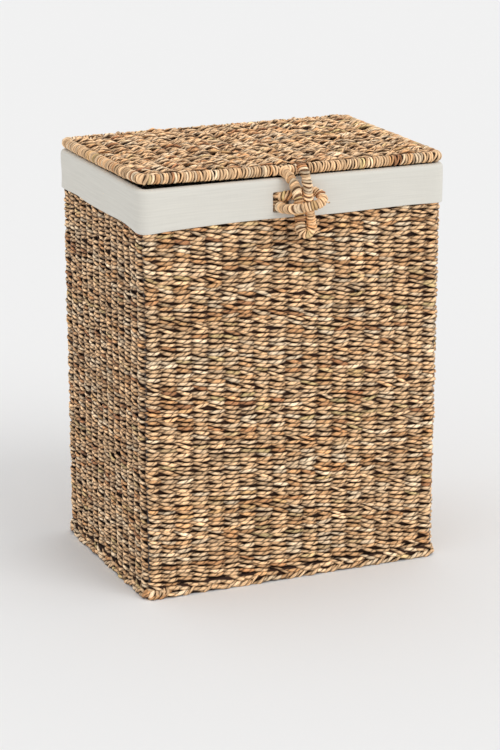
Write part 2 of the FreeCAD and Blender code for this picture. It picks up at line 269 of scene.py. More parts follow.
def dark_core(name):
    """Painted shade for the unlit inside of the weave: seagrass drawn near-black brown, rough and
    dull.
    """
    colours = bpy.context.scene.hamper_colours
    material, tree, shader = new_material(name, 0.9)
    place = add_node(tree, "ShaderNodeTexCoord")
    # blotches about 6 mm across, the size of the strands that cross there
    blotch = add_node(tree, "ShaderNodeTexNoise", links={"Vector": place.outputs["Object"]},
                      values={"Scale": 1 / (6 * MM), "Detail": 2.0})
    mix = add_node(tree, "ShaderNodeMix", data_type="RGBA",
                   links={"Factor": blotch.outputs["Fac"]},
                   values={6: hex_colour("1e120a"), 7: colours.umber})
    tree.links.new(mix.outputs[2], shader.inputs["Base Color"])
    return material


def cotton(name, brightness):
    """Unbleached cotton canvas, plain woven and washed.

    Off-white and matt, with slubs that run along the threads and a soft fuzz at grazing angles.
    """
    colours = bpy.context.scene.hamper_colours
    material, tree, shader = new_material(name, 0.92, **{"Sheen Weight": 0.15,
                                                         "Specular IOR Level": 0.25})
    cloth = add_node(tree, "ShaderNodeAttribute", attribute_name="cloth")
    # slubs about 2.2 mm across and 70 mm long, along the weft
    slub_map = add_node(tree, "ShaderNodeMapping", links={"Vector": cloth.outputs["Vector"]},
                        values={"Scale": (1 / (70 * MM), 1 / (2.2 * MM), 1.0)})
    slub = add_node(tree, "ShaderNodeTexNoise", links={"Vector": slub_map.outputs["Vector"]},
                    values={"Scale": 1.0, "Detail": 2.0, "Roughness": 0.55})
    warp_map = add_node(tree, "ShaderNodeMapping", links={"Vector": cloth.outputs["Vector"]},
                        values={"Scale": (1 / (1.3 * MM), 1 / (30 * MM), 1.0)})
    warp = add_node(tree, "ShaderNodeTexNoise", links={"Vector": warp_map.outputs["Vector"]},
                    values={"Scale": 1.0, "Detail": 2.0})
    threads = add_node(tree, "ShaderNodeMath", operation="MULTIPLY_ADD",
                       links={0: warp.outputs["Fac"], 2: slub.outputs["Fac"]}, values={1: 0.25})
    tint = add_node(tree, "ShaderNodeMapRange", links={"Value": threads.outputs[0]},
                    values={"From Min": 0.35, "From Max": 0.9,
                            "To Min": 0.93 * brightness, "To Max": 1.03 * brightness})
    base = add_node(tree, "ShaderNodeVectorMath", operation="SCALE",
                    links={"Scale": tint.outputs["Result"]},
                    values={0: colours.cotton[:3]})
    tree.links.new(base.outputs[0], shader.inputs["Base Color"])
    bump = add_node(tree, "ShaderNodeBump", links={"Height": threads.outputs[0]},
                    values={"Strength": 0.35, "Distance": 0.3 * MM})
    tree.links.new(bump.outputs["Normal"], shader.inputs["Normal"])
    return material


def painted_wire(name):
    """Mild steel wire with thin brush-applied enamel: dark, half gloss, a little uneven."""
    colours = bpy.context.scene.hamper_colours
    material, tree, shader = new_material(name, 0.45)
    place = add_node(tree, "ShaderNodeTexCoord")
    # runs in the paint about 3 mm across
    runs = add_node(tree, "ShaderNodeTexNoise", links={"Vector": place.outputs["Object"]},
                    values={"Scale": 1 / (3 * MM), "Detail": 2.0})
    mix = add_node(tree, "ShaderNodeMix", data_type="RGBA",
                   links={"Factor": runs.outputs["Fac"]},
                   values={6: colours.steel, 7: hex_colour("40352f")})
    tree.links.new(mix.outputs[2], shader.inputs["Base Color"])
    return material


def studio_paper(name):
    """Seamless matt studio paper, evenly pale, with a very faint tooth."""
    colours = bpy.context.scene.hamper_colours
    material, tree, shader = new_material(name, 0.95, **{"Specular IOR Level": 0.1})
    place = add_node(tree, "ShaderNodeTexCoord")
    # paper tooth about 2 mm across
    tooth = add_node(tree, "ShaderNodeTexNoise", links={"Vector": place.outputs["Object"]},
                     values={"Scale": 1 / (2 * MM), "Detail": 1.0})
    mix = add_node(tree, "ShaderNodeMix", data_type="RGBA",
                   links={"Factor": tooth.outputs["Fac"]},
                   values={6: colours.floor, 7: hex_colour("efefef")})
    tree.links.new(mix.outputs[2], shader.inputs["Base Color"])
    return material


def finish_named(name, maker, *values):
    """The material of that name, made the first time it is asked for."""
    return bpy.data.materials.get(name) or maker(name, *values)


def weave_finish():
    return finish_named("seagrass_woven", seagrass, 1.07)


def lid_finish():
    # painted light: the lid's weave, above and below, is drawn 1.4 times as bright, for the
    # stronger light on its upward-facing top
    return finish_named("seagrass_woven_lid_painted_light", seagrass, 1.4)


def wrap_finish():
    return finish_named("seagrass_wrapped", seagrass, 1.0)


def core_finish():
    return finish_named("seagrass_core_shaded", dark_core)


def cloth_finish():
    return finish_named("cotton_canvas_washed", cotton, 1.0)


# ---- mesh helpers ----

def read_points(mesh):
    points = np.empty(len(mesh.vertices) * 3)
    mesh.vertices.foreach_get("co", points)
    return points.reshape(-1, 3)


def write_points(mesh, points):
    mesh.vertices.foreach_set("co", np.ascontiguousarray(points, np.float32).ravel())
    mesh.update()


def write_attribute(mesh, name, values):
    attribute = mesh.attributes.new(name, "FLOAT_VECTOR", "POINT")
    attribute.data.foreach_set("vector", np.ascontiguousarray(values, np.float32).ravel())


def stack(*columns):
    return np.stack(np.broadcast_arrays(*columns), axis=-1)


def mesh_from(bm, name):
    mesh = bpy.data.meshes.new(name)
    bm.to_mesh(mesh)
    bm.free()
    return mesh


def add_piece(name, mesh, material, body, replaced=()):
    """Links a finished mesh as a piece that rides on a body."""
    mesh.name = name
    mesh.materials.clear()
    mesh.materials.append(material)
    mesh.polygons.foreach_set("use_smooth", [True] * len(mesh.polygons))
    piece = bpy.data.objects.new(name, mesh)
    bpy.context.scene.collection.objects.link(piece)
    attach(piece, body)
    if replaced:
        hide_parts(*replaced)
    return piece


def evaluated_mesh(carrier):
    graph = bpy.context.evaluated_depsgraph_get()
    return bpy.data.meshes.new_from_object(carrier.evaluated_get(graph))


def repeat(template, along, across=1):
    """Copies of a small mesh, one after another in the result's list of points."""
    carrier = bpy.data.objects.new("carrier", template)
    bpy.context.scene.collection.objects.link(carrier)
    for count, step in ((along, (1.0, 0.0, 0.0)), (across, (0.0, 0.0, 1.0))):
        array = carrier.modifiers.new("copies", "ARRAY")
        array.count = count
        array.use_relative_offset = False
        array.use_constant_offset = True
        array.constant_offset_displace = step
    mesh = evaluated_mesh(carrier)
    bpy.data.objects.remove(carrier)
    return mesh


# ---- outlines and paths ----

class Outline:
    """A closed rounded rectangle seen from above, from the middle of the front towards +X."""

    def __init__(self, half_x, half_y, radius):
        stations = [(0.0, -half_y, 0.0, -1.0)]
        for side_x, side_y, first in ((1, -1, -90), (1, 1, 0), (-1, 1, 90), (-1, -1, 180)):
            centre_x = side_x * (half_x - radius)
            centre_y = side_y * (half_y - radius)
            for angle in np.radians(np.linspace(first, first + 90, 19)):
                normal = (math.cos(angle), math.sin(angle))
                stations.append((centre_x + radius * normal[0], centre_y + radius * normal[1],
                                 *normal))
        stations.append(stations[0])
        self.stations = np.array(stations)
        steps = np.linalg.norm(np.diff(self.stations[:, :2], axis=0), axis=1)
        distance = np.concatenate([[0.0], np.cumsum(steps)])
        self.length = distance[-1]
        self.share = distance / self.length

    def at(self, share):
        """x, y and outward normal at shares of the way round."""
        wrapped = np.mod(share, 1.0)
        return [np.interp(wrapped, self.share, self.stations[:, k]) for k in range(4)]

    def point(self, share, out):
        x, y, normal_x, normal_y = self.at(share)
        return x + normal_x * out, y + normal_y * out


FOOT_OUTLINE = Outline(FOOT_HIGH.x - FOOT_PROUD, FOOT_HIGH.y - FOOT_PROUD, WALL_CORNER)
MOUTH_OUTLINE = Outline(WALL_HIGH.x, WALL_HIGH.y, WALL_CORNER)
COLUMN_PITCH = (FOOT_OUTLINE.length + MOUTH_OUTLINE.length) / 2 / ROUND_COLUMNS


def wall_point(share, out, height):
    """Points on the tapering wall: share of the way round, distance out of its face, height."""
    rise = (height - WALL_LOW.z) / (WALL_HIGH.z - WALL_LOW.z)
    low_x, low_y = FOOT_OUTLINE.point(share, out)
    high_x, high_y = MOUTH_OUTLINE.point(share, out)
    return stack(low_x + (high_x - low_x) * rise, low_y + (high_y - low_y) * rise, height)


class Path:
    """A line through points, with a frame that doesn't twist about it."""

    def __init__(self, points):
        self.points = np.array(points)
        steps = np.linalg.norm(np.diff(self.points, axis=0), axis=1)
        self.distance = np.concatenate([[0.0], np.cumsum(steps)])
        self.length = self.distance[-1]
        tangents = np.gradient(self.points, self.distance, axis=0)
        self.tangents = tangents / np.linalg.norm(tangents, axis=1)[:, None]
        side = np.cross(self.tangents[0], (0.0, 0.0, 1.0))
        if np.linalg.norm(side) < 0.1:
            side = np.cross(self.tangents[0], (1.0, 0.0, 0.0))
        sides = []
        for tangent in self.tangents:
            side = side - tangent * (side @ tangent)
            side = side / np.linalg.norm(side)
            sides.append(side)
        self.sides = np.array(sides)
        self.ups = np.cross(self.sides, self.tangents)

    def place(self, along, side, up):
        """World points from distances along the line and off it."""
        def read(values):
            return stack(*[np.interp(along, self.distance, values[:, k]) for k in range(3)])
        beyond = (along - np.clip(along, 0.0, self.length))[..., None]
        return (read(self.points) + read(self.tangents) * beyond
                + read(self.sides) * side[..., None] + read(self.ups) * up[..., None])


def spline_points(name, route):
    """Points along the smooth line of a cord's route, read from its own NURBS spline."""
    curve = bpy.data.curves.new(name, "CURVE")
    curve.dimensions = "3D"
    curve.resolution_u = 24
    spline = curve.splines.new("NURBS")
    spline.points.add(len(route) - 1)
    for point, place in zip(spline.points, route):
        point.co = (*place, 1.0)
    spline.order_u = 3
    spline.use_endpoint_u = True
    carrier = bpy.data.objects.new(name, curve)
    bpy.context.scene.collection.objects.link(carrier)
    mesh = evaluated_mesh(carrier)
    points = read_points(mesh)
    bpy.data.objects.remove(carrier)
    bpy.data.curves.remove(curve)
    bpy.data.meshes.remove(mesh)
    return points


# ---- floats of the weave ----

FLOAT_SLICES = 8
FLOAT_SIDES = 6
FLATNESS = 0.78                # depth of a float as a share of its height
WALL_SINK = 3.8 * MM           # middle of the floats, in from the wall's outer face
FOOT_SINK = 3.4 * MM           # the same for the foot border
FOOT_STRAND = 1.05             # height of a foot strand as a share of a wall float's


def float_template(length):
    """One float: a strand of unit radius along X, closed at both ends, +Y facing out.

    It has five of its six edges on the side that shows.
    """
    bm = bmesh.new()
    bmesh.ops.create_cone(bm, cap_ends=True, segments=FLOAT_SIDES, radius1=1.0, radius2=1.0,
                          depth=length)
    lengthwise = [edge for edge in bm.edges
                  if abs(edge.verts[0].co.z - edge.verts[1].co.z) > length / 2]
    bmesh.ops.subdivide_edges(bm, edges=lengthwise, cuts=FLOAT_SLICES - 1, use_grid_fill=True)
    bmesh.ops.rotate(bm, verts=bm.verts, matrix=Matrix.Rotation(math.pi / 2, 3, "Y"))
    mesh = mesh_from(bm, "float")
    points = read_points(mesh)
    angle = np.arctan2(points[:, 1], points[:, 2])
    first = angle[np.argmax(np.cos(angle - math.pi / 2))] - math.pi / 2
    away = (angle - first - math.pi / 2 + math.pi) % (2 * math.pi) - math.pi
    shown = np.sign(away) * np.interp(np.abs(away), np.radians((0, 60, 120, 180)),
                                      np.radians((0, 42, 85, 180)))
    write_points(mesh, stack(points[:, 0], np.cos(shown), -np.sin(shown)))
    return mesh


def strand_tones(rng, rows, columns):
    """Hue and brightness of each float: a strand keeps its colour for a few floats."""
    weavers = 2 * rows
    blocks = rng.random((weavers, columns // 4 + 3))
    starts = rng.integers(0, 8, weavers)
    row, column = np.mgrid[0:rows, 0:columns]
    weaver = 2 * row + column % 2
    hue = blocks[weaver, (column + starts[weaver]) // 4]
    hue = np.where(rng.random(hue.shape) < 0.25, rng.random(hue.shape), hue)
    bright = 0.80 + 0.34 * blocks[weaver[::-1], (column + starts[weaver]) // 4]
    return hue, bright * rng.normal(1.0, 0.13, hue.shape)


class Floats:
    """A field of floats in columns and rows, each column half a row off its neighbours."""

    def __init__(self, columns, rows, seed, first_column=0, mess=1.0, slant=1.7 * MM,
                 height_scale=1.0, painted_shade_strength=1.0):
        """mess scatters the floats, slant tips them; the last setting scales the painted shade
        where they tuck under, between rows and on their lower sides.
        """
        settings = bpy.context.scene.hamper_weave
        rng = np.random.default_rng(seed)
        template = float_template(settings.float_length)
        local = read_points(template)
        self.mesh = repeat(template, columns, rows)
        row, column = np.mgrid[0:rows, 0:columns]
        self.row = row[..., None]
        self.column = column[..., None] + first_column

        def vary(spread):
            return rng.normal(0.0, spread * mess, (rows, columns, 1))

        stake = local[:, 0] / COLUMN_PITCH
        shown = np.arctan2(local[:, 2], local[:, 1])
        turn = shown - 2 * np.pi * local[:, 0] / settings.ply_pitch + vary(1.5)
        ply = np.abs(np.cos(turn))
        lobe = 0.72 + 0.28 * ply
        belly = (0.5 + 0.5 * np.cos(np.pi * stake)) ** 0.6
        bow = np.cos(np.pi * stake) - 0.35
        height = settings.float_height / 2 * (1 + vary(0.11)) * height_scale
        depth = FLATNESS * settings.float_height / 2 * (1 + vary(0.12))
        bulge = settings.float_bulge * (1 + vary(0.25))
        self.along = local[:, 0] * (1 + vary(0.05)) + vary(1.1 * MM)
        self.out = local[:, 1] * lobe * depth * belly + bulge * bow + vary(0.45 * MM)
        self.across = (local[:, 2] * lobe * height * belly
                       - slant * (1 + vary(0.9)) * np.sin(stake * 2.2)
                       + vary(0.5 * MM) * np.cos(stake * 3) + vary(0.45 * MM))
        hue, bright = strand_tones(rng, rows, columns)
        # painted shade: floats darken towards their tucked ends, on the sides turned away from the
        # wall's face and on their lower halves
        tuck = np.clip((np.abs(stake) - 0.32) / 0.36, 0.0, 1.0) * 0.8
        groove = np.clip((0.60 - local[:, 1]) / 0.60, 0.0, 1.0) * 0.5
        under = np.clip(-local[:, 2], 0.0, 1.0) * 0.62
        self.tone = stack(hue[..., None], bright[..., None],
                          np.clip((tuck + groove + under) * painted_shade_strength, 0.0, 0.93))
        offset = rng.random((rows, columns, 1)) * 3.0
        self.fibre = stack(local[:, 0] + offset, (turn + offset) * settings.float_height / 2,
                           turn)

    def finish(self, points):
        """Writes the placed points and the strand attributes, and returns the mesh."""
        write_points(self.mesh, points.reshape(-1, 3))
        write_attribute(self.mesh, "tone", self.tone.reshape(-1, 3))
        write_attribute(self.mesh, "fibre", self.fibre.reshape(-1, 3))
        return self.mesh


def wander(share, height):
    """Slow drift of the rows up and down, the same all round where share wraps."""
    turn = 2 * math.pi * share
    return (0.9 * MM * np.sin(3 * turn + 11 * height) + 0.7 * MM * np.sin(7 * turn - 23 * height)
            + 0.5 * MM * np.sin(17 * turn + 41 * height))


def lean(share, height):
    """Slow drift of the columns sideways, as shares of the way round."""
    turn = 2 * math.pi * share
    return 0.0011 * np.sin(9 * height / 0.55 + 5 * turn) + 0.0007 * np.sin(21 * height + 13 * turn)


def wall_piece(name, first, count, seed, painted_shade_strength=1.0):
    """One side of the woven wall."""
    settings = bpy.context.scene.hamper_weave
    rows = int((WALL_HIGH.z - WALL_LOW.z) / settings.row_pitch)
    floats = Floats(count, rows, seed, first, painted_shade_strength=painted_shade_strength)
    half_row = settings.row_pitch / 2
    height = (WALL_LOW.z + half_row * (1 + 2 * floats.row + (floats.column % 2) * 0.98)
              + floats.across)
    share = (floats.column + floats.along / COLUMN_PITCH) / ROUND_COLUMNS
    height = np.clip(height + wander(share, height), WALL_LOW.z, WALL_HIGH.z)
    share = share + lean(share, height)
    out = floats.out - WALL_SINK
    mesh = floats.finish(wall_point(share, out, height))
    return add_piece(name, mesh, weave_finish(), "basket", ["woven_wall"])


BAND_POINTS = 120


def move_ring(verts, outline, out, height):
    """Puts a ring of points round an outline at a height."""
    x, y = outline.point(np.arange(len(verts)) / len(verts), out)
    for vert, place_x, place_y in zip(verts, x, y):
        vert.co = (place_x, place_y, height)


def band(name, low, high, outs, heights):
    """A closed band between an inner and an outer offset, from one outline up to another."""
    corners = [(low, outs[1], heights[0]), (high, outs[1], heights[1]),
               (high, outs[0], heights[1]), (low, outs[0], heights[0])]
    bm = bmesh.new()
    verts = [bm.verts.new() for _ in range(BAND_POINTS)]
    edges = [bm.edges.new(pair) for pair in zip(verts, verts[1:] + verts[:1])]
    move_ring(verts, *corners[0])
    for corner in corners[1:] + corners[:1]:
        grown = set(bmesh.ops.extrude_edge_only(bm, edges=edges)["geom"])
        verts = [next(edge.other_vert(vert) for edge in vert.link_edges
                      if edge.other_vert(vert) in grown) for vert in verts]
        edges = [bm.edges.get(pair) for pair in zip(verts, verts[1:] + verts[:1])]
        move_ring(verts, *corner)
    bmesh.ops.remove_doubles(bm, verts=bm.verts, dist=1e-6)
    bmesh.ops.recalc_face_normals(bm, faces=bm.faces)
    return mesh_from(bm, name)


CORE_CORNER = 10 * MM          # corner radius of the flat cores


def slab(name, size, z_range, radius):
    """A closed rounded plate."""
    bm = bmesh.new()
    bmesh.ops.create_cube(bm, size=1.0)
    bmesh.ops.scale(bm, verts=bm.verts, vec=(size[0], size[1], z_range[1] - z_range[0]))
    bmesh.ops.translate(bm, verts=bm.verts, vec=(0, 0, sum(z_range) / 2))
    upright = [edge for edge in bm.edges
               if abs(edge.verts[0].co.z - edge.verts[1].co.z) > 1e-6]
    bmesh.ops.bevel(bm, geom=upright, offset=radius, segments=6, affect="EDGES",
                    profile=0.5, material=-1)
    return mesh_from(bm, name)


def wall_core():
    """The back of the wall: the strands behind the floats, always in shade."""
    mesh = band("wall_core", FOOT_OUTLINE, MOUTH_OUTLINE, (-WEAVE, -6 * MM),
                (WALL_LOW.z, WALL_HIGH.z))
    add_piece("wall_core", mesh, core_finish(), "basket")


def flat_weave(name, size, level, facing, seed, body, replaced, centre_y=0.0, mess=1.0,
               slant=1.2 * MM, painted_shade_strength=1.0):
    """Woven panel lying flat, its floats facing up or down."""
    settings = bpy.context.scene.hamper_weave
    columns = round(size[0] / COLUMN_PITCH)
    rows = round(size[1] / settings.row_pitch)
    floats = Floats(columns, rows, seed, mess=mess, slant=slant, painted_shade_strength=painted_shade_strength)
    x = (floats.column - (columns - 1) / 2) * size[0] / columns + floats.along
    step = size[1] / rows
    y = centre_y + (floats.row - (rows - 1) / 2 + (floats.column % 2 - 0.5) * 0.5) * step
    y = y + facing * floats.across + wander(x / 1.5, y)
    x = x + 2.5 * MM * np.sin(y / (37 * MM) + 4 * x)
    z = level + facing * (floats.out - FLATNESS * settings.float_height / 2 + 0.6 * MM)
    x = np.clip(x, -size[0] / 2, size[0] / 2)
    y = np.clip(y, centre_y - size[1] / 2, centre_y + size[1] / 2)
    points = stack(x, y, np.maximum(z, FLOOR_GAP))
    if body == "lid":
        points = lift_corner(make_room(points))
    mesh = floats.finish(points)
    finish = lid_finish() if body == "lid" else weave_finish()
    return add_piece(name, mesh, finish, body, replaced)


def make_room(points):
    """The lid's weave leaves room for the hinge ties at the back and the loop's root in front."""
    roomy = points.copy()
    x, y = points[..., 0], points[..., 1]
    hinge_y = LID_HIGH.y - LID_RADIUS
    by_tie = np.abs(np.abs(x) - TIE_X) < TIE / 2 + 2.5 * MM
    roomy[..., 1] = np.where(by_tie, np.minimum(y, hinge_y - LID_RADIUS - TIE - 2.5 * MM), y)
    by_root = (x > ROOT_LOW.x - 3 * MM) & (x < ROOT_HIGH.x + 3 * MM)
    clear_y = -hinge_y + LID_RADIUS + 2.0 * MM
    roomy[..., 1] = np.where(by_root, np.maximum(roomy[..., 1], clear_y), roomy[..., 1])
    return roomy


def lift_corner(points):
    """The lid is slightly warped: its front left corner stands a few millimetres up."""
    left = np.clip(0.5 - points[..., 0] / (2 * LID_HIGH.x), 0, 1)
    front = np.clip(0.5 - points[..., 1] / (2 * LID_HIGH.y), 0, 1)
    lifted = points.copy()
    lifted[..., 2] += 5.0 * MM * left ** 3 * front ** 3
    return lifted


# ---- wraps ----

WRAP_STEPS = 16
WRAP_RISE = 4


def wrap_template(width, radius, swell):
    """One turn of wrapping round X: a band with a rounded face, closed inside."""
    bm = bmesh.new()
    verts = []
    for i in range(WRAP_RISE + 1):
        reach = i / WRAP_RISE
        rise = swell * math.sin(math.pi * reach) ** 0.7
        verts.append(bm.verts.new((width * (reach - 0.5), -(radius - swell + rise), 0.0)))
    edges = [bm.edges.new(pair) for pair in zip(verts, verts[1:] + verts[:1])]
    bmesh.ops.spin(bm, geom=verts + edges, axis=(1, 0, 0), cent=(0, 0, 0),
                   angle=2 * math.pi, steps=WRAP_STEPS, use_merge=True)
    bmesh.ops.remove_doubles(bm, verts=bm.verts, dist=1e-6)
    bmesh.ops.recalc_face_normals(bm, faces=bm.faces)
    return mesh_from(bm, "wrap")


class Wraps:
    """A row of wraps with uneven widths, tilts and colours. out is away from the object."""

    def __init__(self, index, width, radius, swell, seed, slant=0.12):
        rng = np.random.default_rng(seed)
        template = wrap_template(width, radius, swell)
        local = read_points(template)
        count = len(index)
        self.mesh = repeat(template, count)
        shape = (count, len(local))
        self.index = np.array(index)[:, None]

        def vary(spread):
            return rng.normal(0.0, spread, (count, 1))

        grow = 1 + vary(0.05)
        tilt = slant + vary(0.15)
        self.out = local[:, 1] * -1.0 * grow * np.ones(shape)
        self.up = local[:, 2] * grow * np.ones(shape)
        self.along = (local[:, 0] * (1 + vary(0.16)) + tilt * self.up + vary(0.06) * self.out
                      + vary(0.05 * width))
        angle = np.arctan2(local[:, 2], -local[:, 1])
        distance = np.hypot(local[:, 1], local[:, 2])
        hue = rng.random((count, 1))
        follow = rng.random((count, 1)) < 0.45
        hue = np.where(follow, np.roll(hue, 1, axis=0), hue)
        bright = rng.normal(0.94, 0.19, (count, 1))
        # painted shade: wraps darken towards their edges, where they meet the next wrap, and deeper
        # in towards the core
        edge = np.clip(np.abs(local[:, 0]) / (width / 2), 0, 1) ** 3 * 0.85
        inside = np.clip((radius - swell * 0.6 - distance) / swell, 0, 1) * 0.6
        self.tone = stack(hue, bright, np.clip(edge + inside, 0, 0.9) * np.ones(shape))
        offset = rng.random((count, 1)) * 3.0
        self.fibre = stack(angle * radius + offset, local[:, 0] + offset, np.zeros(shape))

    def finish(self, points):
        write_points(self.mesh, points.reshape(-1, 3))
        write_attribute(self.mesh, "tone", self.tone.reshape(-1, 3))
        write_attribute(self.mesh, "fibre", self.fibre.reshape(-1, 3))
        return self.mesh


def wrapped_ring(outline, radius, level, pitch, seed, gap=None, slant=0.12):
    """Wraps all the way round an outline, leaving out a gap in X along the front."""
    count = round(outline.length / pitch)
    index = np.arange(count)
    if gap:
        x, y = outline.point(index / count, 0.0)
        index = index[(x < gap[0] - 1.5 * MM) | (x > gap[1] + 1.5 * MM) | (y > 0)]
    wraps = Wraps(index, width=1.08 * outline.length / count, radius=radius,
                  swell=0.16 * radius + 0.3 * MM, seed=seed, slant=slant)
    share = wraps.index / count + wraps.along / outline.length
    x, y = outline.point(share, wraps.out)
    return wraps.finish(stack(x, y, level + wraps.up))


def wraps_along(path, pitch, width, radius, swell, seed, slant, closed=False):
    """Wraps along a path, each as wide as a share of their spacing."""
    count = round(path.length / pitch)
    step = path.length / count
    wraps = Wraps(range(count), width * path.length / count, radius, swell, seed, slant)
    along = (wraps.index + 0.5) * step + wraps.along
    if closed:
        along = np.mod(along, path.length)
    return wraps.finish(path.place(along, wraps.out, wraps.up))


def tube_mesh(name, path, radius, sides, rings):
    """A closed tube along a path, bent from a flat grid."""
    bm = bmesh.new()
    bmesh.ops.create_grid(bm, x_segments=rings, y_segments=sides, size=0.5)
    for vert in bm.verts:
        vert.co.x += 0.5
        vert.co.y += 0.5
    mesh = mesh_from(bm, name)
    local = read_points(mesh)
    angle = 2 * math.pi * local[:, 1]
    along = local[:, 0] * path.length
    grip = radius(local[:, 0]) if callable(radius) else radius
    points = path.place(along, np.cos(angle) * grip, np.sin(angle) * grip)
    write_points(mesh, points)
    bm = bmesh.new()
    bm.from_mesh(mesh)
    bmesh.ops.remove_doubles(bm, verts=bm.verts, dist=1e-6)
    ends = [edge for edge in bm.edges if edge.is_boundary]
    bmesh.ops.holes_fill(bm, edges=ends, sides=0)
    bmesh.ops.recalc_face_normals(bm, faces=bm.faces)
    bm.to_mesh(mesh)
    bm.free()
    return mesh


def wrapped_cord(name, route, radius, pitch, seed, body, replaced):
    """A cord with a core and wraps along it, and the points of its middle line."""
    points = spline_points(name + "_line", route)
    path = Path(points)
    mesh = wraps_along(path, pitch, width=1.12, radius=radius, swell=0.30 * radius, seed=seed,
                       slant=0.5)
    core = tube_mesh(name + "_core", path, radius=radius * 0.72, sides=12,
                     rings=3 * round(path.length / pitch))
    # painted shade: the core seen between the wraps is drawn dim and mixed towards umber
    write_attribute(core, "tone", np.tile((0.05, 0.5, 0.6), (len(core.vertices), 1)))
    write_attribute(core, "fibre", read_points(core))
    bm = bmesh.new()
    bm.from_mesh(mesh)
    bm.from_mesh(core)
    bm.to_mesh(mesh)
    bm.free()
    bpy.data.meshes.remove(core)
    piece = add_piece(name, mesh, wrap_finish(), body, replaced)
    return piece, points, path


# ---- pieces ----

def build_cords():
    """The closure ring and the lid loop, each a wrapped rope."""
    settings = bpy.context.scene.hamper_weave
    ring, line, path = wrapped_cord("closure_ring_rope", RING_ROUTE, 7.1 * MM,
                                    settings.cord_pitch, 31, "basket", ["closure_ring"])
    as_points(line)
    loop, line, path = wrapped_cord("lid_loop_rope", LOOP_ROUTE, 7.1 * MM,
                                    settings.cord_pitch, 32, "lid_loop", ["loop_cord"])
    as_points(line)


def build_loop_root():
    """The wrapping on the lid's front wire that holds the loop."""
    middle = (ROOT_LOW + ROOT_HIGH) / 2
    path = Path([(ROOT_LOW.x, middle.y, middle.z), middle, (ROOT_HIGH.x, middle.y, middle.z)])
    mesh = wraps_along(path, pitch=4.6 * MM, width=1.0, radius=LID_RADIUS - 0.4 * MM,
                       swell=1.6 * MM, seed=41, slant=0.05)
    add_piece("loop_root_wrapping", mesh, wrap_finish(), "lid_loop", ["loop_root"])


def build_wall():
    """Four sides of floats, with a dark core behind them."""
    wall_core()
    front = -(FRONT_COLUMNS - 1) // 2
    right = front + FRONT_COLUMNS
    back = right + SIDE_COLUMNS
    left = back + FRONT_COLUMNS
    wall_piece("weave_front", front, FRONT_COLUMNS, seed=1)
    wall_piece("weave_right", right, SIDE_COLUMNS, seed=2)
    wall_piece("weave_back", back, FRONT_COLUMNS, seed=3)
    # the left side gets deeper painted shade, as it faces away from the key light
    wall_piece("weave_left", left, SIDE_COLUMNS, seed=4, painted_shade_strength=2.3)


def foot_row(name, pitch, level, slant, seed, out):
    """A row of long slanted strands round the foot, each lying over the next."""
    outline = Outline(FOOT_HIGH.x, FOOT_HIGH.y, WALL_CORNER + FOOT_PROUD)
    count = 2 * round(outline.length / pitch / 2)
    floats = Floats(count, 1, seed, slant=slant, height_scale=FOOT_STRAND)
    share = (floats.column + floats.along / pitch) / count
    height = level + (floats.column % 2 - 0.5) * 1.2 * MM + floats.across
    x, y = outline.point(share, floats.out - FOOT_SINK + out)
    mesh = floats.finish(stack(x, y, np.maximum(height, FLOOR_GAP)))
    return add_piece(name, mesh, weave_finish(), "basket", ["foot_border"])


def build_foot():
    """The plaited border round the foot, with a lashing at the front left corner."""
    foot_row("foot_strands_low", pitch=13.5 * MM, level=4.6 * MM, slant=-3.4 * MM, seed=51,
             out=0.4 * MM)
    foot_row("foot_strands_high", pitch=17 * MM, level=12.2 * MM, slant=2.6 * MM, seed=52,
             out=-1.0 * MM)
    core = Outline(FOOT_HIGH.x, FOOT_HIGH.y, WALL_CORNER + FOOT_PROUD)
    mesh = band("foot_core", core, core, (-WEAVE, -4.5 * MM), (0.4 * MM, FOOT_HIGH.z))
    add_piece("foot_core", mesh, core_finish(), "basket")
    build_foot_lashing()


def build_foot_lashing():
    """A few turns of strand bound round the foot, just right of its front left corner."""
    inset = 5.5 * MM
    outline = Outline(FOOT_HIGH.x - inset, FOOT_HIGH.y - inset, WALL_CORNER + FOOT_PROUD - inset)
    wraps = Wraps(range(-2, 5), width=5.6 * MM, radius=6.6 * MM, swell=1.8 * MM, seed=53,
                  slant=0.25)
    pitch = 5.2 * MM
    start = -FOOT_HIGH.x + 12 * MM
    share = (start + wraps.index * pitch + wraps.along) / outline.length
    x, y = outline.point(share, wraps.out)
    height = FOOT_HIGH.z / 2 + wraps.up
    mesh = wraps.finish(stack(x, y, np.maximum(height, 1.2 * MM)))
    add_piece("foot_lashing", mesh, wrap_finish(), "basket")


def build_base():
    """The woven base under its dark core."""
    size = (2 * BASE_HIGH.x, 2 * BASE_HIGH.y)
    flat_weave("base_weave_under", size, level=BASE_LOW.z + 2.6 * MM, facing=-1, seed=6,
               body="basket", replaced=["woven_base"])
    mesh = slab("base_core", size, (BASE_LOW.z + 5 * MM, BASE_HIGH.z), CORE_CORNER)
    add_piece("base_core", mesh, core_finish(), "basket")


def build_rim():
    """The wrapped edge of the wall, under the cuff."""
    middle = Outline(RIM_HIGH.x - WEAVE / 2, RIM_HIGH.y - WEAVE / 2, WALL_CORNER - WEAVE / 2)
    mesh = wrapped_ring(middle, radius=WEAVE / 2, level=(RIM_LOW.z + RIM_HIGH.z) / 2,
                        pitch=5.5 * MM, seed=61)
    add_piece("rim_wrapping", mesh, wrap_finish(), "basket", ["rim_border"])


